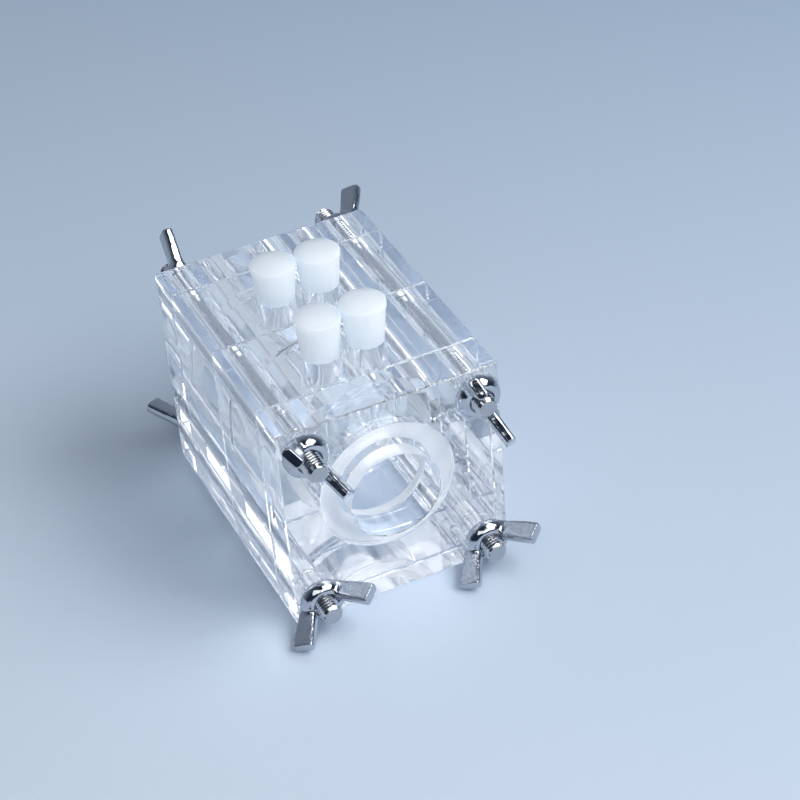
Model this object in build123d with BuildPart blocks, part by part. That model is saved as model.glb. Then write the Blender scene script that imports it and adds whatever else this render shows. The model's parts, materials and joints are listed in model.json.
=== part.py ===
from build123d import *
import math
import os

# Clear acrylic electrochemical cell: two chamber blocks between two end plates, stacked
# front to back and pulled together by four tie rods with a wing nut on each end.
# X runs to the right, Y from the front plate to the rear plate, Z up. The origin lies on
# the bottom face, at the middle of the stack. All sizes are in millimetres.

# Acrylic blocks
block_width = 60.0
block_height = 60.0
end_plate_thickness = 12.0
chamber_depth = 28.0
joint_gap = 0.3
edge_break = 0.3
contact_film = 0.05

# Window in each end plate, with its disc and the gasket behind it
window_bore_diameter = 24.5
window_rim_break = 0.25
window_wall = 9.0
window_diameter = 37.0
window_fit = 0.2
gasket_inset = 0.1
gasket_inner_diameter = 26.0
gasket_thickness = 2.1

# Liquid space, its two ports and the membrane between the two halves
chamber_bore_diameter = 35.0
port_diameter = 10.2
port_spacing = 12.4
membrane_rim_width = 2.5
membrane_thickness = 0.2
membrane_gasket_thickness = 1.0
membrane_seat_fit = 0.2

# Stoppers: a tapered silicone body under a thin lip
stopper_lip_diameter = 12.1
stopper_lip_thickness = 1.5
stopper_lip_round = 0.4
stopper_body_top_diameter = 11.6
stopper_body_bottom_diameter = 8.0
stopper_body_length = 18.6
stopper_bottom_round = 0.8
stopper_clearance = {
    "front_left": 0.24,
    "front_right": 0.24,
    "rear_left": 0.16,
    "rear_right": 0.11,
}

# Tie rods, M6 with a plain shank, set in a square around the window
rod_pattern = 46.5
rod_length = 100.0
rod_shank_diameter = 6.0
rod_thread_diameter = 5.7
rod_thread_length = 22.0
rod_end_chamfer = 0.6
rod_hole_diameter = 6.6
rod_shift = {
    "upper_left": -0.5,
    "upper_right": 1.9,
    "lower_left": 0.7,
    "lower_right": 1.5,
}

# Wing nuts: a round hub with two flared wings, cut square at their ends
nut_bore_diameter = 6.0
nut_seat_diameter = 9.8
nut_hub_low_diameter = 11.1
nut_hub_low_height = 0.55
nut_hub_diameter = 12.1
nut_hub_widest = 1.6
nut_hub_top_diameter = 8.4
nut_hub_height = 4.4
nut_dome_slope = 0.6
nut_countersink_diameter = 7.0
nut_countersink_depth = 0.5
wing_root_radius = 4.9
wing_root_height = 3.0
wing_tip_radius = 10.8
wing_tip_height = 11.1
wing_root_width = 4.4
wing_root_thickness = 3.3
wing_tip_width = 5.7
wing_tip_thickness = 2.9
wing_corner_round = 1.1
wing_end_round = 0.5
nut_angle = {
    "front_upper_left": 128.0,
    "front_upper_right": 112.0,
    "front_lower_left": 26.0,
    "front_lower_right": 26.0,
    "rear_upper_left": 96.5,
    "rear_upper_right": 145.0,
    "rear_lower_left": 21.0,
    "rear_lower_right": 155.0,
}

# Values worked out from the sizes above
stack_depth = 2 * end_plate_thickness + 2 * chamber_depth + 3 * joint_gap
front_face = -stack_depth / 2
axis_height = block_height / 2
window_seat_diameter = window_diameter + 2 * window_fit
window_seat_depth = end_plate_thickness - window_wall
window_thickness = window_seat_depth - contact_film
gasket_outer_diameter = window_diameter - 2 * gasket_inset
gasket_seat_depth = gasket_thickness + 2 * contact_film - joint_gap
gasket_seat_diameter = gasket_outer_diameter + 2 * window_fit
membrane_diameter = chamber_bore_diameter + 2 * membrane_rim_width
membrane_stack = membrane_thickness + 2 * membrane_gasket_thickness + 4 * contact_film
membrane_seat_depth = (membrane_stack - joint_gap) / 2
membrane_seat_diameter = membrane_diameter + 2 * membrane_seat_fit
chamber_front = front_face + end_plate_thickness + joint_gap
chamber_middle = chamber_front + chamber_depth / 2
rod_half = rod_pattern / 2
rod_places = {
    "upper_left": (-rod_half, axis_height + rod_half),
    "upper_right": (rod_half, axis_height + rod_half),
    "lower_left": (-rod_half, axis_height - rod_half),
    "lower_right": (rod_half, axis_height - rod_half),
}
stopper_taper = (stopper_body_top_diameter - stopper_body_bottom_diameter) / (2 * stopper_body_length)

os.makedirs("parts", exist_ok=True)


def save(part, node):
    """Label a finished piece and write it under its node's name."""
    part.label = node
    export_step(part, f"parts/{node}.step")


def facing_rear(y):
    """Sketch plane across the stack at depth y, X to the right, Z up, looking from the front."""
    return Plane(origin=(0, y, axis_height), x_dir=(1, 0, 0), z_dir=(0, -1, 0))


def turned_round(part):
    """The same piece as it sits in the rear half: turned half a turn about the upright axis."""
    return Rot(0, 0, 180) * part


# Front end plate: window bore from the front, seat for the window disc from behind
with BuildPart() as front_end_plate:
    with BuildSketch(facing_rear(front_face)):
        Rectangle(block_width, block_height)
    extrude(amount=-end_plate_thickness)
    chamfer(front_end_plate.edges(), edge_break)
    with BuildSketch(facing_rear(front_face)):
        Circle(window_bore_diameter / 2)
    extrude(amount=-window_wall, mode=Mode.SUBTRACT)
    rim = front_end_plate.edges().filter_by(GeomType.CIRCLE).group_by(Axis.Y)[0]
    chamfer(rim, window_rim_break)
    with BuildSketch(facing_rear(front_face + window_wall)):
        Circle(window_seat_diameter / 2)
    extrude(amount=-window_seat_depth, mode=Mode.SUBTRACT)
    with BuildSketch(facing_rear(front_face)):
        with GridLocations(rod_pattern, rod_pattern, 2, 2):
            Circle(rod_hole_diameter / 2)
    extrude(amount=-end_plate_thickness, mode=Mode.SUBTRACT)

# Front chamber block: one large bore right through, a gasket seat at the window end, a
# membrane seat at the middle of the cell, and two ports down from the top face
with BuildPart() as front_chamber_block:
    with BuildSketch(facing_rear(chamber_front)):
        Rectangle(block_width, block_height)
    extrude(amount=-chamber_depth)
    chamfer(front_chamber_block.edges(), edge_break)
    with BuildSketch(facing_rear(chamber_front)):
        Circle(chamber_bore_diameter / 2)
        with GridLocations(rod_pattern, rod_pattern, 2, 2):
            Circle(rod_hole_diameter / 2)
    extrude(amount=-chamber_depth, mode=Mode.SUBTRACT)
    with BuildSketch(facing_rear(chamber_front)):
        Circle(gasket_seat_diameter / 2)
    extrude(amount=-gasket_seat_depth, mode=Mode.SUBTRACT)
    with BuildSketch(facing_rear(chamber_front + chamber_depth)):
        Circle(membrane_seat_diameter / 2)
    extrude(amount=membrane_seat_depth, mode=Mode.SUBTRACT)
    with BuildSketch(Plane.XY.offset(block_height)):
        with Locations((0, chamber_middle)):
            with GridLocations(port_spacing, 0, 2, 1):
                Circle(port_diameter / 2)
    extrude(amount=-(block_height - axis_height), mode=Mode.SUBTRACT)

# Front window: a clear disc in the plate's seat
with BuildPart() as front_window:
    with BuildSketch(facing_rear(front_face + window_wall + contact_film)):
        Circle(window_diameter / 2)
    extrude(amount=-window_thickness)

# Front window gasket: a flat silicone ring between the disc and the chamber block
with BuildPart() as front_window_gasket:
    with BuildSketch(facing_rear(front_face + end_plate_thickness + contact_film)):
        Circle(gasket_outer_diameter / 2)
        Circle(gasket_inner_diameter / 2, mode=Mode.SUBTRACT)
    extrude(amount=-gasket_thickness)

# Front membrane gasket: a thin clear ring that holds the membrane's edge from the front
with BuildPart() as front_membrane_gasket:
    with BuildSketch(facing_rear(-membrane_thickness / 2 - contact_film)):
        Circle(membrane_diameter / 2)
        Circle(chamber_bore_diameter / 2, mode=Mode.SUBTRACT)
    extrude(amount=membrane_gasket_thickness)

# Ion exchange membrane, at the middle of the cell
with BuildPart() as membrane:
    with BuildSketch(facing_rear(membrane_thickness / 2)):
        Circle(membrane_diameter / 2)
    extrude(amount=membrane_thickness)

save(front_end_plate.part, "front_end_plate")
save(front_chamber_block.part, "front_chamber_block")
save(front_window.part, "front_window")
save(front_window_gasket.part, "front_window_gasket")
save(front_membrane_gasket.part, "front_membrane_gasket")
save(membrane.part, "membrane")
save(turned_round(front_end_plate.part), "rear_end_plate")
save(turned_round(front_chamber_block.part), "rear_chamber_block")
save(turned_round(front_window.part), "rear_window")
save(turned_round(front_window_gasket.part), "rear_window_gasket")
save(turned_round(front_membrane_gasket.part), "rear_membrane_gasket")

# Tie rod, modelled along Z about its middle: a plain shank with a thread on each end, whose
# crests lie just under the shank's size
with BuildPart() as tie_rod:
    with BuildSketch(Plane.XY.offset(-rod_length / 2)):
        Circle(rod_thread_diameter / 2)
    extrude(amount=rod_length)
    ends = tie_rod.edges().filter_by(GeomType.CIRCLE)
    chamfer(ends, rod_end_chamfer)
    with BuildSketch(Plane.XY.offset(rod_thread_length - rod_length / 2)):
        Circle(rod_shank_diameter / 2)
    extrude(amount=rod_length - 2 * rod_thread_length)

for corner, (x, z) in rod_places.items():
    rod = Pos(x, rod_shift[corner], z) * Rot(-90, 0, 0) * tie_rod.part
    save(rod, f"tie_rod_{corner}")

# Wing nut, modelled along Z from its seat, with its wings along X. The hub swells from the
# seat to its widest ring and closes in a dome; each wing is a tapered bar that leaves the hub
# outwards and forwards and is cut square across its own direction
wing_run = wing_tip_radius - wing_root_radius
wing_rise = wing_tip_height - wing_root_height
wing_length = math.hypot(wing_run, wing_rise)
wing_direction = (wing_run / wing_length, 0, wing_rise / wing_length)
with BuildPart() as wing_nut:
    with BuildSketch(Plane.XZ):
        with BuildLine():
            Line((0, 0), (nut_seat_diameter / 2, 0))
            ThreePointArc(
                (nut_seat_diameter / 2, 0),
                (nut_hub_low_diameter / 2, nut_hub_low_height),
                (nut_hub_diameter / 2, nut_hub_widest),
            )
            Spline(
                (nut_hub_diameter / 2, nut_hub_widest),
                (nut_hub_top_diameter / 2, nut_hub_height),
                tangents=[(0, 1), (-1, nut_dome_slope)],
            )
            Line((nut_hub_top_diameter / 2, nut_hub_height), (0, nut_hub_height))
            Line((0, nut_hub_height), (0, 0))
        make_face()
    revolve(axis=Axis.Z)
    for side in (1, -1):
        along = (side * wing_direction[0], 0, wing_direction[2])
        root = Plane(origin=(side * wing_root_radius, 0, wing_root_height), x_dir=(0, 1, 0), z_dir=along)
        tip = Plane(origin=(side * wing_tip_radius, 0, wing_tip_height), x_dir=(0, 1, 0), z_dir=along)
        with BuildSketch(root):
            RectangleRounded(wing_root_thickness, wing_root_width, wing_corner_round)
        with BuildSketch(tip):
            RectangleRounded(wing_tip_thickness, wing_tip_width, wing_corner_round)
        loft(ruled=True)
        wing_end = wing_nut.faces().filter_by(Plane(origin=(0, 0, 0), z_dir=along)).sort_by(Axis.Z)[-1]
        fillet(wing_end.edges(), wing_end_round)
    with BuildSketch(Plane.XY):
        Circle(nut_bore_diameter / 2)
    extrude(amount=wing_tip_height + wing_length, mode=Mode.SUBTRACT)
    with BuildSketch(Plane.XY.offset(nut_hub_height)):
        Circle(nut_countersink_diameter / 2)
    with BuildSketch(Plane.XY.offset(nut_hub_height - nut_countersink_depth)):
        Circle(nut_bore_diameter / 2)
    loft(mode=Mode.SUBTRACT)

for corner, (x, z) in rod_places.items():
    front_place = Pos(x, front_face - contact_film, z) * Rot(90, 0, 0)
    front_nut = front_place * Rot(0, 0, nut_angle[f"front_{corner}"]) * wing_nut.part
    save(front_nut, f"front_wing_nut_{corner}")
    rear_place = Pos(x, -front_face + contact_film, z) * Rot(-90, 0, 0)
    rear_nut = rear_place * Rot(0, 0, nut_angle[f"rear_{corner}"]) * wing_nut.part
    save(rear_nut, f"rear_wing_nut_{corner}")

# Stopper, modelled along Z from its lower end: the taper, then the lip
with BuildPart() as stopper:
    with BuildSketch(Plane.XZ):
        with BuildLine():
            Polyline(
                (0, 0),
                (stopper_body_bottom_diameter / 2, 0),
                (stopper_body_top_diameter / 2, stopper_body_length),
                (stopper_lip_diameter / 2, stopper_body_length),
                (stopper_lip_diameter / 2, stopper_body_length + stopper_lip_thickness),
                (0, stopper_body_length + stopper_lip_thickness),
                close=True,
            )
        make_face()
    revolve(axis=Axis.Z)
    rings = stopper.edges().filter_by(GeomType.CIRCLE).sort_by(Axis.Z)
    fillet(rings[0], stopper_bottom_round)
    fillet(rings[-1], stopper_lip_round)

# Each stopper sinks until its taper nearly fills the mouth of its port
for place, clearance in stopper_clearance.items():
    seat_radius = port_diameter / 2 - clearance
    seat_above_bottom = (seat_radius - stopper_body_bottom_diameter / 2) / stopper_taper
    x = port_spacing / 2 if place.endswith("right") else -port_spacing / 2
    y = chamber_middle if place.startswith("front") else -chamber_middle
    seated = Pos(x, y, block_height - seat_above_bottom) * stopper.part
    save(seated, f"{place}_stopper")
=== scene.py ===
# %% [markdown]
# # A clear acrylic cell, held together by rods and wing nuts
#
# The real object is a small laboratory cell. Two hollow blocks and two end plates of clear
# acrylic are stacked front to back, and four steel rods with a wing nut on each end pull them
# together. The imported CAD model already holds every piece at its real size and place.
# So this file doesn't build the object again: it gives each surface its finish, and it models
# anew only what CAD leaves plain, which is the rods' threads and the cast wing nuts.

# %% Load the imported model
import json
import math

import bmesh
import bpy
import numpy as np
from mathutils import Matrix, Vector


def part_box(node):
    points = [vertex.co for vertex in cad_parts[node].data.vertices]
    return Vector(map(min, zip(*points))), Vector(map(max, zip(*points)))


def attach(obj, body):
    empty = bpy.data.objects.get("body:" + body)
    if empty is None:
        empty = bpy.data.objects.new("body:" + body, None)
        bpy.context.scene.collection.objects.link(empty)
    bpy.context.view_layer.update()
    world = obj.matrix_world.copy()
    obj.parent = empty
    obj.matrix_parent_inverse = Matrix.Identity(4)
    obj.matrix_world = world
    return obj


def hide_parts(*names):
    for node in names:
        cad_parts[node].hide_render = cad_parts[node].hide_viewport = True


mm = 0.001
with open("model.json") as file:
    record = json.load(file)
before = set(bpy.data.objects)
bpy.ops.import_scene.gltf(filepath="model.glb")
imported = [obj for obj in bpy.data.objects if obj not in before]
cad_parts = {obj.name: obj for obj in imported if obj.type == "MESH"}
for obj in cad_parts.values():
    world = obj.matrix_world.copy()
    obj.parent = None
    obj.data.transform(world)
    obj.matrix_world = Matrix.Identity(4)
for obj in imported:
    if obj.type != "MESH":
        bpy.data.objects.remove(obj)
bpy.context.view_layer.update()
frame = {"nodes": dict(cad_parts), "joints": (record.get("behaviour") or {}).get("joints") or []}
nodes = frame["nodes"]
corners = ("upper_left", "upper_right", "lower_left", "lower_right")

# %% [markdown]
# ## Camera
#
# The picture was taken with a long lens from the front left, well above the bench, and the
# camera leans a little to one side. A camera can be placed by hand or by two angles and a
# distance. Angles are used here, because they say in plain numbers how the object is seen:
# the camera looks at an aim point from a distance, and rolls about its own line of sight.

# %% Camera
view_azimuth = math.radians(22.39)
view_elevation = math.radians(37.36)
view_roll = math.radians(-4.97)
view_distance = 0.6653
view_aim = Vector((0.02273, 0.00690, 0.01970))
view_lens = 111.15

sight = Vector(
    (
        math.sin(view_azimuth) * math.cos(view_elevation),
        math.cos(view_azimuth) * math.cos(view_elevation),
        -math.sin(view_elevation),
    )
)
level_right = Vector((math.cos(view_azimuth), -math.sin(view_azimuth), 0))
level_up = level_right.cross(sight)
camera_right = math.cos(view_roll) * level_right + math.sin(view_roll) * level_up
camera_up = math.cos(view_roll) * level_up - math.sin(view_roll) * level_right

camera = bpy.data.objects.new("camera", bpy.data.cameras.new("camera"))
bpy.context.scene.collection.objects.link(camera)
camera.data.lens = view_lens
camera.data.clip_start = 0.01
camera.data.clip_end = 50
turned = Matrix((camera_right, camera_up, -sight)).transposed().to_4x4()
camera.matrix_world = Matrix.Translation(view_aim - view_distance * sight) @ turned
bpy.context.scene.camera = camera
bpy.context.scene.view_settings.view_transform = "Standard"
print("camera at", [round(v, 3) for v in camera.location])

# %% [markdown]
# ## Helpers for materials
#
# Every finish below is a small network of nodes on Blender's Principled shader. Typing each
# node out is long and hard to read, so a few helpers do it: one makes a material with its fixed
# numbers on the shader's own sockets, one adds a node, and one links it. A helper returns the
# node's output, so that a line of the script reads like a line of arithmetic.

# %% Material helpers
def shader_of(material):
    """The material's Principled shader."""
    return material.node_tree.nodes["Principled BSDF"]


def finish(name, sockets):
    """A new node material whose shader has these values on its own sockets."""
    made = bpy.data.materials.new(name)
    made.use_nodes = True
    for socket, value in sockets.items():
        shader_of(made).inputs[socket].default_value = value
    return made


def add_node(material, kind, **settings):
    """A new node of this kind, with its settings."""
    node = material.node_tree.nodes.new(kind)
    for setting, value in settings.items():
        setattr(node, setting, value)
    return node


def feed(material, source, socket):
    """Give a socket a number, or link it to another node's output."""
    if isinstance(source, (int, float)):
        socket.default_value = source
    else:
        material.node_tree.links.new(source, socket)


def calc(material, operation, *values):
    """A Math node on these numbers or outputs, and its own output."""
    node = add_node(material, "ShaderNodeMath", operation=operation)
    for value, socket in zip(values, node.inputs):
        feed(material, value, socket)
    return node.outputs[0]


def place_in(material):
    """The point being shaded, in the object's own frame, in metres: whole, and as x, y and z."""
    where = add_node(material, "ShaderNodeTexCoord")
    parts = add_node(material, "ShaderNodeSeparateXYZ")
    feed(material, where.outputs["Object"], parts.inputs[0])
    return where.outputs["Object"], parts.outputs


def dress(material, *names):
    """Give CAD nodes this material."""
    for name in names:
        slots = nodes[name].data.materials
        slots.clear()
        slots.append(material)


print("material helpers are ready")

# %% [markdown]
# ## Helpers for noise, colour and relief
#
# No real surface is the same all over. A photograph of one could be laid over the mesh, but it
# would show its pixels close up and its seams at the edges. Noise is worked out at each point of
# the object instead, so it has neither. These helpers make the noise, stretch its range, turn
# it into a colour between two, and use it as relief.

# %% Noise, colour and relief
def noise_in(material, where, scale, detail=2.0):
    """Soft random values from 0 to 1, scale times across each metre."""
    node = add_node(material, "ShaderNodeTexNoise")
    feed(material, where, node.inputs["Vector"])
    node.inputs["Scale"].default_value = scale
    node.inputs["Detail"].default_value = detail
    return node.outputs["Fac"]


def spread(material, value, low, high, start=0.0, end=1.0):
    """A value from start to end, stretched to lie from low to high."""
    node = add_node(material, "ShaderNodeMapRange")
    feed(material, value, node.inputs["Value"])
    for name, number in zip(("From Min", "From Max", "To Min", "To Max"), (start, end, low, high)):
        feed(material, number, node.inputs[name])
    return node.outputs["Result"]


def stretched(material, where, factors):
    """The same place, with each of its three coordinates stretched by its own factor."""
    node = add_node(material, "ShaderNodeVectorMath", operation="MULTIPLY")
    feed(material, where, node.inputs[0])
    node.inputs[1].default_value = factors
    return node.outputs["Vector"]


def between(material, share, first, second):
    """A colour that goes from the first to the second as the share goes from 0 to 1."""
    # A Mix node lists the sockets of every kind of value: 6 and 7 are those of its two colours.
    node = add_node(material, "ShaderNodeMix", data_type="RGBA")
    feed(material, share, node.inputs[0])
    node.inputs[6].default_value = first
    node.inputs[7].default_value = second
    return node.outputs[2]


def relief(material, height, depth, strength):
    """Use a value from 0 to 1 as relief of this depth, in metres, on the shader's normal."""
    node = add_node(material, "ShaderNodeBump")
    node.inputs["Distance"].default_value = depth
    node.inputs["Strength"].default_value = strength
    feed(material, height, node.inputs["Height"])
    feed(material, node.outputs["Normal"], shader_of(material).inputs["Normal"])


print("noise helpers are ready")

# %% [markdown]
# ## Floor
#
# The cell was photographed on a pale blue sheet that is brightest near the camera. Light alone
# could make it fade from near to far, but that needs a lamp so near the floor that the metal
# would show it. So the fade is painted light in the sheet's material: its colour goes from one
# blue to another on the way to the far right.

# %% Floor
floor_size = 8.0
floor_drop = 0.05 * mm
floor_near = (0.60, 0.675, 0.78, 1)
floor_far = (0.30, 0.405, 0.545, 1)
fade_start = -0.20
fade_end = 0.52
away_x, away_y = 0.95, 0.75
sheet_grain_depth = 0.02 * mm

bpy.ops.mesh.primitive_plane_add(size=floor_size, location=(0, 0, -floor_drop))
floor = bpy.context.object
floor.name = "floor"
sheet = finish("pale_blue_sheet", {"Roughness": 0.7, "Specular IOR Level": 0.2})
where, (x, y, _) = place_in(sheet)
# painted light: the sheet's colour fades from the bright near blue to the darker far one
away = calc(sheet, "MULTIPLY_ADD", x, away_x, calc(sheet, "MULTIPLY", y, away_y))
fade = spread(sheet, away, low=0.0, high=1.0, start=fade_start, end=fade_end)
feed(sheet, between(sheet, fade, floor_near, floor_far), shader_of(sheet).inputs["Base Color"])
relief(sheet, noise_in(sheet, where, scale=900.0), depth=sheet_grain_depth, strength=0.2)
floor.data.materials.append(sheet)
print("floor at", -floor_drop)

# %% [markdown]
# ## Lamps
#
# A strong soft lamp stands on the right and throws the shadow to the left. Clear acrylic and
# polished steel have almost no colour of their own: they show what is round them. A ray that
# enters the block's left side bounces off its bottom and its back, and leaves towards the front
# right, so the broad white bands low on that side are the picture of a second, weaker panel
# there. Spot lamps would be simpler, but a panel has edges, and polished metal shows them.

# %% Lamps
def soft_lamp(name, direction, distance, size, power):
    """A panel of light at this distance from the object, facing it."""
    lamp = bpy.data.objects.new(name, bpy.data.lights.new(name, "AREA"))
    bpy.context.scene.collection.objects.link(lamp)
    lamp.data.shape = "RECTANGLE"
    lamp.data.size, lamp.data.size_y = size
    lamp.data.energy = power
    towards = Vector(direction).normalized()
    lamp.location = towards * distance + view_aim
    lamp.rotation_euler = (-towards).to_track_quat("-Z", "Y").to_euler()
    print(name, "at", [round(v, 2) for v in lamp.location])


soft_lamp("key_panel", direction=(0.66, -0.52, 1.00), distance=1.1, size=(0.7, 0.7), power=8.6)
soft_lamp("front_panel", direction=(0.30, -0.735, 0.607), distance=1.3, size=(1.0, 0.6), power=3.8)
soft_lamp("fill_panel", direction=(-0.45, -0.80, 0.90), distance=1.5, size=(0.9, 0.6), power=2.5)

# %% [markdown]
# ## The room
#
# No lamp lights the room's walls, yet every shiny surface mirrors them. One even colour would
# do, but polished steel needs darkness near the camera to look like steel, and clear acrylic
# needs a pale room behind it. The world's shader can tell what kind of ray asks, so it answers
# each with its own colour: seen straight or through something clear, the room is as pale as the
# sheet, mirrored in metal it is dark in front and greyer behind, and as light it is dim and blue.

# %% World
room_light = 0.34
room_colour = (0.82, 0.91, 1.0, 1)
pale_room = (0.52, 0.59, 0.70, 1)
dark_front = (0.02, 0.03, 0.05, 1)
grey_back = (0.26, 0.31, 0.38, 1)
dark_until = -0.3
grey_from = 0.6

world = bpy.data.worlds.new("studio")
bpy.context.scene.world = world
world.use_nodes = True
world.node_tree.nodes.clear()
asked = add_node(world, "ShaderNodeLightPath")
ways = add_node(world, "ShaderNodeTexCoord")
parts = add_node(world, "ShaderNodeSeparateXYZ")
feed(world, ways.outputs["Generated"], parts.inputs[0])
behind = spread(world, parts.outputs["Y"], low=0.0, high=1.0, start=dark_until, end=grey_from)


def answer(colour, strength=1.0):
    """The room with this colour, a fixed one or an output, at this strength."""
    node = add_node(world, "ShaderNodeBackground")
    if isinstance(colour, tuple):
        node.inputs["Color"].default_value = colour
    else:
        feed(world, colour, node.inputs["Color"])
    node.inputs["Strength"].default_value = strength
    return node.outputs[0]


def choose(share, first, second):
    """The first answer where the share is 0, and the second where it is 1."""
    node = add_node(world, "ShaderNodeMixShader")
    for source, socket in zip((share, first, second), node.inputs):
        feed(world, source, socket)
    return node.outputs[0]


mirrored = answer(between(world, behind, dark_front, grey_back))
lit = choose(asked.outputs["Is Glossy Ray"], answer(room_colour, room_light), mirrored)
straight = calc(world, "MAXIMUM", asked.outputs["Is Camera Ray"], asked.outputs["Is Transmission Ray"])
room = choose(straight, lit, answer(pale_room))
feed(world, room, add_node(world, "ShaderNodeOutputWorld").inputs["Surface"])
print("strength of the room's light:", room_light)

# %% [markdown]
# ## How far the light may go
#
# A ray crosses up to twenty surfaces before it is out of the stack again, and Blender stops it
# after twelve unless told otherwise, which leaves black patches. The bounces are raised to 40.
# Blender also blurs sharp surfaces that light meets after a rough one, to save noise. In a stack
# of clear plates that blur traps the light, and the gaskets inside would turn dark grey, so it
# is turned off.

# %% Light paths
most_bounces = 40

scene = bpy.context.scene
scene.cycles.max_bounces = most_bounces
scene.cycles.transmission_bounces = most_bounces
scene.cycles.glossy_bounces = most_bounces
scene.cycles.blur_glossy = 0.0
print("bounces:", scene.cycles.max_bounces)

# %% [markdown]
# ## Clear acrylic
#
# The blocks were cut from thick sheet. Their outer faces are polished, and light bends in them
# as in the real plastic, because the shader gets acrylic's refractive index. The bores are
# another matter: a boring bar or a drill leaves fine rings, so their walls are hazy, and less so
# in the rod holes, through which the rods show clearly.
# The walls could be picked by hand and given a second material. But every bore is a cylinder
# about a known axis, so one material can find the walls by itself: it measures how far each
# point is from the axes, and turns the haze up where that distance is the bore's radius. Noise
# that is stretched along x, where it runs with the rings, makes the haze uneven.

# %% Acrylic
chamber_bore_radius = 17.5 * mm
rod_hole_radius = 3.3 * mm
port_radius = 5.1 * mm
wall_band = 0.12 * mm
chamber_haze = 0.10
rod_hole_haze = 0.03
port_haze = 0.10
mark_stretch = (0.1, 1.0, 1.0)

plate_low, plate_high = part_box("front_end_plate")
axis_height = (plate_low.z + plate_high.z) / 2
rod_low, rod_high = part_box("tie_rod_upper_right")
rod_offset = (rod_low.x + rod_high.x) / 2
stopper_low, stopper_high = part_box("rear_right_stopper")
port_x = (stopper_low.x + stopper_high.x) / 2
port_y = (stopper_low.y + stopper_high.y) / 2


def near_wall(material, across, offset, up, offset_up, radius):
    """1 on the wall of a bore of this radius, mirrored to both sides of the middle, else 0."""
    first = calc(material, "SUBTRACT", calc(material, "ABSOLUTE", across), offset)
    second = calc(material, "SUBTRACT", calc(material, "ABSOLUTE", up), offset_up)
    square = calc(material, "MULTIPLY", first, first)
    away = calc(material, "SQRT", calc(material, "MULTIPLY_ADD", second, second, square))
    off_wall = calc(material, "ABSOLUTE", calc(material, "SUBTRACT", away, radius))
    return calc(material, "LESS_THAN", off_wall, wall_band)


acrylic = finish(
    "clear_acrylic",
    {
        "Base Color": (0.995, 0.997, 1.0, 1),
        "IOR": 1.49,
        "Transmission Weight": 1.0,
    },
)
where, (x, y, z) = place_in(acrylic)
height = calc(acrylic, "SUBTRACT", z, axis_height)
chamber_wall = near_wall(acrylic, x, 0.0, height, 0.0, chamber_bore_radius)
hole_wall = near_wall(acrylic, x, rod_offset, height, rod_offset, rod_hole_radius)
port_wall = near_wall(acrylic, x, port_x, y, port_y, port_radius)
haze = calc(acrylic, "MULTIPLY", chamber_wall, chamber_haze)
haze = calc(acrylic, "MULTIPLY_ADD", hole_wall, rod_hole_haze, haze)
haze = calc(acrylic, "MULTIPLY_ADD", port_wall, port_haze, haze)
tool_marks = noise_in(acrylic, stretched(acrylic, where, mark_stretch), scale=1400.0)
uneven = spread(acrylic, tool_marks, low=0.6, high=1.4, start=0.3, end=0.7)
feed(acrylic, calc(acrylic, "MULTIPLY", haze, uneven), shader_of(acrylic).inputs["Roughness"])
dress(acrylic, "front_end_plate", "rear_end_plate", "front_chamber_block", "rear_chamber_block")
print("bores about x", rod_offset, port_x, "y", port_y, "z", axis_height)

# %% [markdown]
# ## Windows
#
# Behind each end plate a round window of quartz closes the chamber. It is clearer than acrylic
# and bends light a little less. A perfectly smooth disc could hardly be seen, so faint marks of
# wiping are left on it: noise turns the roughness up a little, in some places only.

# %% Windows
quartz = finish(
    "clear_window",
    {"Base Color": (0.997, 0.998, 1.0, 1), "IOR": 1.46, "Transmission Weight": 1.0},
)
where, _ = place_in(quartz)
wipe_marks = noise_in(quartz, where, scale=300.0)
wiped = spread(quartz, wipe_marks, low=0.0, high=0.012, start=0.45, end=0.75)
feed(quartz, wiped, shader_of(quartz).inputs["Roughness"])
dress(quartz, "front_window", "rear_window")
print("windows:", quartz.name)

# %% [markdown]
# ## Gaskets
#
# Each window lies on a silicone gasket, and the membrane is clamped between two more. Cut
# silicone sheet is frosted: light scatters inside it, so it looks almost white. A plain white
# would look like paper, so part of the light goes through, and a faint mottle and grain come
# from noise. The thin gaskets in the middle are clearer than the ones behind the windows.

# %% Gaskets
silicone_white = (0.90, 0.905, 0.91, 1)
silicone_grey = (0.84, 0.85, 0.865, 1)
silicone_grain_depth = 0.02 * mm


def silicone_sheet(name, clearness, roughness):
    """Cut silicone sheet that lets this share of the light straight through."""
    made = finish(name, {"IOR": 1.41, "Transmission Weight": clearness, "Roughness": roughness})
    where, _ = place_in(made)
    mottle = spread(made, noise_in(made, where, scale=220.0), low=0.0, high=1.0, start=0.35, end=0.65)
    colour = between(made, mottle, silicone_white, silicone_grey)
    feed(made, colour, shader_of(made).inputs["Base Color"])
    relief(made, noise_in(made, where, scale=3000.0), depth=silicone_grain_depth, strength=0.4)
    return made


frosted_silicone = silicone_sheet("frosted_silicone", clearness=0.1, roughness=0.45)
clear_silicone = silicone_sheet("clear_silicone", clearness=0.35, roughness=0.35)
dress(frosted_silicone, "front_window_gasket", "rear_window_gasket")
dress(clear_silicone, "front_membrane_gasket", "rear_membrane_gasket")
print("gaskets:", frosted_silicone.name, clear_silicone.name)

# %% [markdown]
# ## Membrane
#
# The membrane is a clear polymer film where the two chambers meet. It could be left out, as it
# can hardly be seen, but it takes some sharpness from what lies behind it. So it is clear, with
# a low refractive index, and noise makes its surface cloudy in places.

# %% Membrane
film = finish(
    "membrane_film",
    {"Base Color": (0.99, 0.99, 0.985, 1), "IOR": 1.38, "Transmission Weight": 1.0},
)
where, _ = place_in(film)
clouded = spread(film, noise_in(film, where, scale=120.0), low=0.01, high=0.06)
feed(film, clouded, shader_of(film).inputs["Roughness"])
dress(film, "membrane")
print("membrane:", film.name)

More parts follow.
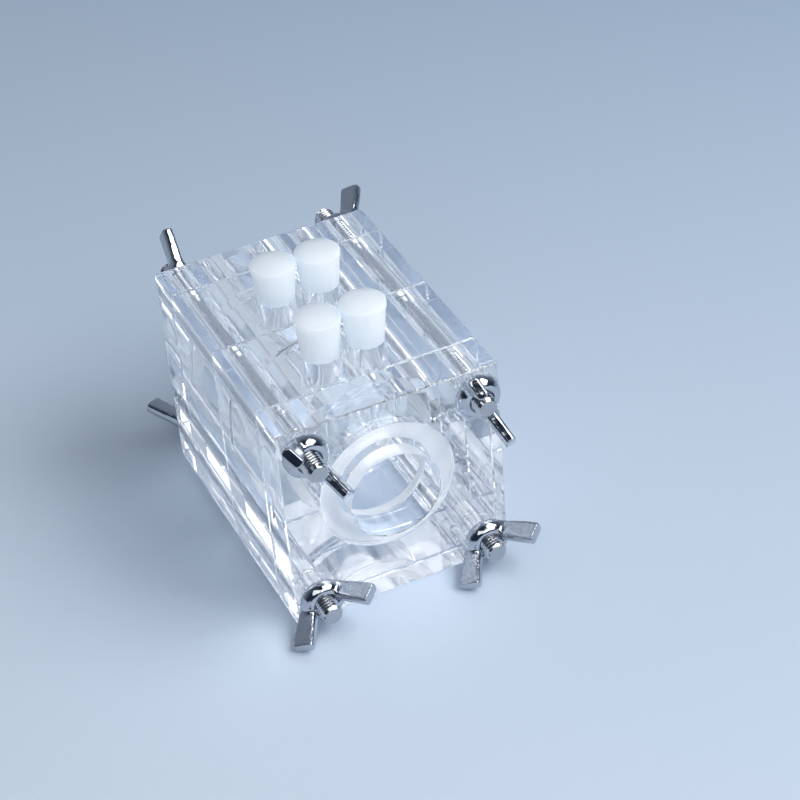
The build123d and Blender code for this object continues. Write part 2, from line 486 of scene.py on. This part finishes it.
# %% [markdown]
# ## Stoppers
#
# The four stoppers are moulded from bluish-white silicone. It is so cloudy that light enters at
# the top and comes out at the sides, and hardly any side looks darker than another. A matt white
# would shade like plaster. Subsurface scattering sends the light through, with a path length of
# about three times the stopper's width, so top and sides come out alike. The clear block also
# sends light up into the stoppers from below, and a faint blue glow stands in for that.

# %% Stoppers
thin_cloud = (0.83, 0.94, 1.0, 1)
dense_cloud = (0.87, 0.965, 1.0, 1)
stopper_grain_depth = 0.02 * mm

milky = finish(
    "milky_silicone",
    {
        "IOR": 1.41,
        "Specular IOR Level": 0.1,
        "Roughness": 0.55,
        "Subsurface Weight": 1.0,
        "Subsurface Radius": (1.0, 1.0, 1.0),
        "Subsurface Scale": 40.0 * mm,
        # painted light: a faint blue glow in place of light that the clear block sends up from below
        "Emission Color": (0.62, 0.78, 1.0, 1),
        "Emission Strength": 0.1,
    },
)
where, _ = place_in(milky)
cloud = noise_in(milky, where, scale=160.0)
feed(milky, between(milky, cloud, thin_cloud, dense_cloud), shader_of(milky).inputs["Base Color"])
relief(milky, noise_in(milky, where, scale=2500.0), depth=stopper_grain_depth, strength=0.5)
stoppers = [name for name in nodes if name.endswith("_stopper")]
dress(milky, *stoppers)
print("stoppers:", stoppers)

# %% [markdown]
# ## Tie rods with a real thread
#
# The rods are plain cylinders in CAD, but the photo shows the ridges of an M6 thread on their
# ends. A bump texture would leave the outline smooth, and a stack of rings wouldn't be a thread.
# So the ridge is really wound: one profile of the tooth is carried round the axis in 48 steps a
# turn, and climbs one pitch on the way. The profile says at which share of the pitch the tooth
# has which radius. Where the strip starts and ends, faces join it to a plain ring, so the rod
# stays one closed mesh.

# %% Thread sizes
steps = 48
pitch = 1.0 * mm
thread_length = 22.0 * mm
crest = 2.85 * mm
root = 2.26 * mm
crest_round = 0.035 * mm
root_round = 0.03 * mm

turn_profile = (
    (0.055, crest),
    (0.085, crest - crest_round),
    (0.375, root + root_round),
    (0.43, root),
    (0.57, root),
    (0.625, root + root_round),
    (0.915, crest - crest_round),
    (0.945, crest),
)
print("tooth height:", crest - root, "pitch:", pitch)

# %% Winding a thread
def thread(shape, start, end, start_ring, end_ring, limit):
    """Wind a thread between two plain rings of vertices, as a strip that climbs a pitch a turn."""
    turns = math.floor((end - start) / pitch) - 1
    last = turns * steps
    rows = len(turn_profile)
    found = {}

    def vertex(j, row):
        if row == rows:
            return vertex(j + steps, 0)
        if (j, row) not in found:
            share, radius = turn_profile[row]
            along = start + pitch * (j / steps + share)
            angle = 2 * math.pi * j / steps
            radius = limit(radius, along)
            place = (radius * math.sin(angle), along, radius * math.cos(angle))
            found[j, row] = shape.verts.new(place)
        return found[j, row]

    for j in range(last):
        for row in range(rows):
            here = (vertex(j, row), vertex(j + 1, row))
            shape.faces.new((*here, vertex(j + 1, row + 1), vertex(j, row + 1)))
    for j in range(steps - 1):
        shape.faces.new((start_ring[j], start_ring[j + 1], vertex(j + 1, 0), vertex(j, 0)))
    first_edge = [vertex(0, row) for row in range(rows + 1)]
    shape.faces.new([start_ring[-1], start_ring[0], *first_edge, vertex(steps - 1, 0)])
    for j in range(1, steps):
        ahead = end_ring[(j + 1) % steps]
        shape.faces.new((vertex(last + j, 0), vertex(last + j + 1, 0), ahead, end_ring[j]))
    last_edge = [vertex(last, row) for row in range(rows, 0, -1)]
    shape.faces.new([vertex(last, 0), vertex(last + 1, 0), end_ring[1], end_ring[0], *last_edge])


print("faces in one turn:", steps * len(turn_profile))

# %% Rings and bands
def ring(shape, radius, along):
    """A closed ring of vertices about the rod's axis."""
    angles = [2 * math.pi * j / steps for j in range(steps)]
    return [shape.verts.new((radius * math.sin(a), along, radius * math.cos(a))) for a in angles]


def bridge(shape, first, second):
    """A band of faces between two rings."""
    for j in range(steps):
        k = (j + 1) % steps
        shape.faces.new((first[j], first[k], second[k], second[j]))


print("steps in a ring:", steps)

# %% [markdown]
# ## The rod's mesh
#
# A rod is threaded at both ends, with a plain shank between. Its tips are chamfered so that a
# nut finds its way on, and near the shank the groove fades out, as it does where a real die
# stops. Both could be cut with a boolean, but that often fails on a thread. Here a limit on the
# radius does it while the thread is wound.

# %% Rod mesh
shank = 3.0 * mm
tip_chamfer = 0.6 * mm
tip_radius = crest - tip_chamfer
rod_half = (rod_high.y - rod_low.y) / 2
run_out = 1.3 * pitch
sharp_from = math.radians(32)


def rod_limit(radius, along):
    """Keep the thread under the chamfer at the tip, and let it fade into the shank."""
    from_tip = rod_half - abs(along)
    radius = min(radius, tip_radius + from_tip)
    to_shank = thread_length - from_tip
    faded = crest - (crest - root) * min(max(to_shank / run_out, 0), 1)
    return max(radius, faded)


shape = bmesh.new()
ends = [ring(shape, tip_radius, -rod_half), ring(shape, tip_radius, rod_half)]
necks = [ring(shape, shank, -rod_half + thread_length), ring(shape, shank, rod_half - thread_length)]
thread(shape, -rod_half, -rod_half + thread_length, ends[0], necks[0], rod_limit)
bridge(shape, necks[0], necks[1])
thread(shape, rod_half - thread_length, rod_half, necks[1], ends[1], rod_limit)
shape.faces.new(ends[0])
shape.faces.new(ends[1])
bmesh.ops.recalc_face_normals(shape, faces=shape.faces)
rod_mesh = bpy.data.meshes.new("threaded_rod")
shape.to_mesh(rod_mesh)
shape.free()
rod_mesh.shade_smooth()
rod_mesh.set_sharp_from_angle(angle=sharp_from)
print("rod faces:", len(rod_mesh.polygons))

# %% [markdown]
# ## Rod steel
#
# The rods are plain stainless steel: duller than the nuts, with fine turning lines round the
# shank. A picture of such lines would need an unwrapped mesh. Noise that is squeezed along the
# axis gives lines round the rod without one, and the same lines vary the roughness. The ends are
# sawn, which leaves them duller and darker: the material finds them as the last 0.03 mm.

# %% Rod steel
turned_dark = (0.50, 0.52, 0.56, 1)
turned_bright = (0.68, 0.69, 0.71, 1)
line_squeeze = (1.0, 12.0, 1.0)
sawn_skin = 0.03 * mm
sawn_roughness = 0.25
sawn_shade = 0.5
turned_skin_depth = 0.03 * mm

steel = finish("rod_steel", {"Metallic": 1.0})
where, (_, y, _) = place_in(steel)
lines = noise_in(steel, stretched(steel, where, line_squeeze), scale=500.0, detail=4.0)
sawn = calc(steel, "GREATER_THAN", calc(steel, "ABSOLUTE", y), rod_half - sawn_skin)
turned_polish = spread(steel, lines, low=0.08, high=0.22, start=0.3, end=0.7)
rod_roughness = calc(steel, "MULTIPLY_ADD", sawn, sawn_roughness, turned_polish)
feed(steel, rod_roughness, shader_of(steel).inputs["Roughness"])
shade = calc(steel, "SUBTRACT", lines, calc(steel, "MULTIPLY", sawn, sawn_shade))
rod_colour = between(steel, shade, turned_dark, turned_bright)
feed(steel, rod_colour, shader_of(steel).inputs["Base Color"])
relief(steel, noise_in(steel, where, scale=1600.0), depth=turned_skin_depth, strength=0.35)
rod_mesh.materials.append(steel)
print("rod material:", steel.name)

# %% [markdown]
# ## Four rods
#
# All four rods are the same, so one mesh serves them all. Copies that stand exactly alike would
# catch the light alike, so each is turned about its own axis by a further 70 degrees.

# %% Rods
turn_per_rod = 70

for count, corner in enumerate(corners):
    low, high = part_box(f"tie_rod_{corner}")
    rod = bpy.data.objects.new(f"tie_rod_{corner}_threaded", rod_mesh)
    scene.collection.objects.link(rod)
    rod.location = (low + high) / 2
    rod.rotation_euler = (0, math.radians(turn_per_rod * count), 0)
    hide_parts(f"tie_rod_{corner}")
    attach(rod, "cell")
print("rods placed:", len(corners))

# %% [markdown]
# ## Wing nuts, cast and polished
#
# A cast wing nut has no sharp inner corner: the wings flow out of the domed hub, and tumbling
# has rounded every edge. Bevels and fillets on such a form fail in most modellers. So the form
# is written as a distance instead: a formula that says how far any point is from the metal.
# Rounded edges and fillets are one line each in it. Its sizes are in millimetres, with z up the
# nut's axis from its seat and x along the wings.

# %% Nut sizes
hub_radius = 6.05
hub_widest = 1.6
hub_height = 4.4
hub_rise = 3.9
hub_drop = 2.73
hub_top_round = 0.4
hub_foot_round = 0.15
bore_radius = 3.0
bore_round = 0.1
countersink_radius = 3.5
countersink_above = 0.3
countersink_round = 0.12
sine_of_45 = 0.7071
wing_root = np.array((4.9, 3.0))
wing_tip = np.array((10.76, 11.05))
wing_root_half = np.array((2.3, 1.65))
wing_tip_half = np.array((2.85, 1.45))
wing_arch = 0.25
wing_corner = 1.15
wing_end_round = 0.45
wing_inside = 2.0
wing_inside_round = 0.5
lowest_share = -0.3
fillet = 0.9
print("the nut's hub is", 2 * hub_radius, "mm wide")

# %% Rounded meets and joins
def meet(a, b, radius):
    """What lies inside both forms, with the edge between them rounded."""
    rounded = np.hypot(np.maximum(a + radius, 0), np.maximum(b + radius, 0))
    return np.minimum(-radius, np.maximum(a, b)) + rounded


def join(a, b, radius):
    """What lies inside either form, with a fillet between them."""
    rounded = np.hypot(np.maximum(radius - a, 0), np.maximum(radius - b, 0))
    return np.maximum(radius, np.minimum(a, b)) - rounded


print("an edge rounded by 1 mm lies", meet(0.0, 0.0, 1.0), "mm inside the sharp one")

# %% Distance to the nut
def nut_distance(points):
    """How far points are outside the cast nut's surface, in mm: less than 0 is metal."""
    px, py, pz = points.T
    out = np.hypot(px, py)
    tall = np.where(pz > hub_widest, hub_rise, hub_drop)
    hub = (np.hypot(out / hub_radius, (pz - hub_widest) / tall) - 1) * hub_drop
    hub = meet(hub, pz - hub_height, hub_top_round)
    hub = meet(hub, -pz, hub_foot_round)
    length = np.linalg.norm(wing_tip - wing_root)
    direction = (wing_tip - wing_root) / length
    side = np.abs(px)
    along = (side - wing_root[0]) * direction[0] + (pz - wing_root[1]) * direction[1]
    across = -(side - wing_root[0]) * direction[1] + (pz - wing_root[1]) * direction[0]
    share = np.clip(along / length, lowest_share, 1)
    half_wide = wing_root_half[0] + (wing_tip_half[0] - wing_root_half[0]) * share
    half_wide = half_wide + np.where(across < 0, wing_arch * 4 * share * (1 - share), 0)
    half_thick = wing_root_half[1] + (wing_tip_half[1] - wing_root_half[1]) * share
    wing = meet(np.abs(across) - half_wide, np.abs(py) - half_thick, wing_corner)
    wing = meet(wing, along - length, wing_end_round)
    wing = meet(wing, -along - wing_inside, wing_inside_round)
    cast = join(hub, wing, fillet)
    cast = meet(cast, bore_radius - out, bore_round)
    cone = (out - countersink_radius - (pz - hub_height)) * sine_of_45
    countersink = meet(cone, pz - hub_height - countersink_above, bore_round)
    return meet(cast, -countersink, countersink_round)


print("a point in the hub's wall is at", nut_distance(np.array([[4.5, 0.0, hub_widest]])))

# %% [markdown]
# ## Where each nut stands
#
# The eight nuts are alike but stand at different angles. The angles could be typed in again,
# but then they might differ from the CAD's. So each is read off its CAD node: the joint gives
# the seat and the axis, and the points that lie farthest out give the way that the wings point.

# %% Nut places
tip_share = 0.97


def nut_place(node):
    """Where a nut stands: its seat, its axis, and the way that its wings point, as a matrix."""
    joint = next(j for j in frame["joints"] if j["child"] == node)
    seat, axis = Vector(joint["pos_m"]), Vector(joint["axis"])
    points = np.array([v.co for v in nodes[node].data.vertices]) - np.array(seat)
    flat = points - np.outer(points @ np.array(axis), np.array(axis))
    reach = np.linalg.norm(flat, axis=1)
    tips = flat[reach > tip_share * reach.max()]
    _, spans = np.linalg.eigh(tips.T @ tips)
    along = Vector(spans[:, -1])
    across = axis.cross(along)
    return Matrix.Translation(seat) @ Matrix((along, across, axis)).transposed().to_4x4()


pattern = "front_wing_nut_lower_left"
print(pattern, "points along", [round(v, 3) for v in nut_place(pattern).col[0][:3]])

# %% [markdown]
# ## The nut's mesh
#
# A formula has no faces, so a mesh is laid on it. Marching through a grid would do it, but it
# leaves small steps. Here one CAD nut is remeshed evenly, every vertex slides along the
# distance's slope until it lies on the formula's surface, and between two slides each vertex
# moves half-way to the middle of its neighbours, which keeps the faces even.

# %% Sliding on to the form
least_slope = 0.2
longest_slide = 0.3
first_rounds = 6


def slope(points, step=0.02):
    """The direction in which the distance grows, worked out from small steps each way."""
    grown = np.zeros_like(points)
    for axis in range(3):
        shift = np.zeros(3)
        shift[axis] = step
        grown[:, axis] = (nut_distance(points + shift) - nut_distance(points - shift)) / (2 * step)
    return grown


def onto_surface(points, rounds):
    """Move points straight on to the surface, in a few steps."""
    for _ in range(rounds):
        grown = slope(points)
        step = -nut_distance(points) / np.maximum((grown**2).sum(1), least_slope)
        points = points + grown * np.clip(step, -longest_slide, longest_slide)[:, None]
    return points


start_point = np.array([[8.0, 2.5, 7.0]])
landed = onto_surface(start_point, first_rounds)
print("a point slides from", nut_distance(start_point), "to", nut_distance(landed))

# %% Nut mesh
voxel = 0.2 * mm
evening_rounds = 8
rounds_after_each = 2
evening_share = 0.5

rough = nodes[pattern].data.copy()
rough.transform(nut_place(pattern).inverted())
blank = bpy.data.objects.new("nut_blank", rough)
scene.collection.objects.link(blank)
remesh = blank.modifiers.new("even_mesh", "REMESH")
remesh.mode = "VOXEL"
remesh.voxel_size = voxel
bpy.context.view_layer.update()
nut_mesh = bpy.data.meshes.new_from_object(blank.evaluated_get(bpy.context.evaluated_depsgraph_get()))
bpy.data.objects.remove(blank)

points = onto_surface(np.array([v.co for v in nut_mesh.vertices]) / mm, first_rounds)
edges = np.array([edge.vertices for edge in nut_mesh.edges])
neighbours = np.bincount(edges.ravel(), minlength=len(points))[:, None]
for _ in range(evening_rounds):
    around = np.zeros_like(points)
    np.add.at(around, edges[:, 0], points[edges[:, 1]])
    np.add.at(around, edges[:, 1], points[edges[:, 0]])
    moved = points + evening_share * (around / neighbours - points)
    points = onto_surface(moved, rounds_after_each)
nut_mesh.vertices.foreach_set("co", (points * mm).astype(np.float32).ravel())
nut_mesh.update()
nut_mesh.shade_smooth()
normals = slope(points)
normals /= np.linalg.norm(normals, axis=1)[:, None]
nut_mesh.normals_split_custom_set_from_vertices(normals)
print("nut faces:", len(nut_mesh.polygons), "worst distance:", np.abs(nut_distance(points)).max())

# %% [markdown]
# ## Nut steel
#
# The nuts were tumbled bright, but the casting's skin still waves under the polish, which
# crumples each reflection. A low noise as relief gives the waves, and a finer one makes the
# polish uneven. Tumbling works least on the wings' broad faces, so there the steel stays satin,
# with hardly a wave, and their colour is painted darker as painted shade. A second material would
# end at a hard line. So the mesh says where those faces are: each vertex carries a share, worked
# out from the way it faces, and the material reads it.

# %% Broad faces
broad_from = 0.6
broad_fade = 0.3

beyond_hub = np.clip(np.hypot(points[:, 0], points[:, 1]) - hub_radius, 0, 1)
flatness = np.clip((np.abs(normals[:, 1]) - broad_from) / broad_fade, 0, 1)
broad_faces = nut_mesh.attributes.new("broad_face", "FLOAT", "POINT")
broad_faces.data.foreach_set("value", (beyond_hub * flatness).astype(np.float32))
print("share of broad faces:", (beyond_hub * flatness).mean())

# %% Nut steel
# the darkest steel colour serves both for wear and for the painted shade of the wings' broad faces
worn_dark_and_painted_shade = (0.48, 0.51, 0.57, 1)
worn_bright = (0.63, 0.655, 0.70, 1)
satin_roughness = 0.20
broad_face_painted_shade = 0.5
wave_depth = 0.20 * mm

polished = finish("polished_nut", {"Metallic": 1.0})
where, _ = place_in(polished)
wear = noise_in(polished, where, scale=600.0, detail=1.0)
broad = add_node(polished, "ShaderNodeAttribute", attribute_name="broad_face").outputs["Fac"]
tumbled = spread(polished, wear, low=0.05, high=0.13, start=0.35, end=0.7)
nut_roughness = calc(polished, "MULTIPLY_ADD", broad, satin_roughness, tumbled)
feed(polished, nut_roughness, shader_of(polished).inputs["Roughness"])
# painted shade: the wings' broad faces are pushed towards the darkest steel colour
shade = calc(polished, "SUBTRACT", wear, calc(polished, "MULTIPLY", broad, broad_face_painted_shade))
nut_colour = between(polished, shade, worn_dark_and_painted_shade, worn_bright)
feed(polished, nut_colour, shader_of(polished).inputs["Base Color"])
waves = noise_in(polished, where, scale=420.0, detail=1.5)
skin = calc(polished, "MULTIPLY", waves, spread(polished, broad, low=1.0, high=0.1))
relief(polished, skin, depth=wave_depth, strength=1.0)
nut_mesh.materials.clear()
nut_mesh.materials.append(polished)
print("nut material:", polished.name)

# %% [markdown]
# ## Eight nuts
#
# The nuts could be eight objects that share one mesh, each turned to its angle. Here each one
# gets a copy of the mesh that is moved to its place instead. The material's noise follows the
# place, so no two nuts have the same waves, and each copy's box fits it tightly.

# %% Nuts
for end in ("front", "rear"):
    for corner in corners:
        node = f"{end}_wing_nut_{corner}"
        placed = nut_mesh.copy()
        placed.name = f"{node}_mesh"
        placed.transform(nut_place(node))
        nut = bpy.data.objects.new(f"{node}_cast", placed)
        scene.collection.objects.link(nut)
        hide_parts(node)
        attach(nut, node)
print("nuts placed:", 2 * len(corners))
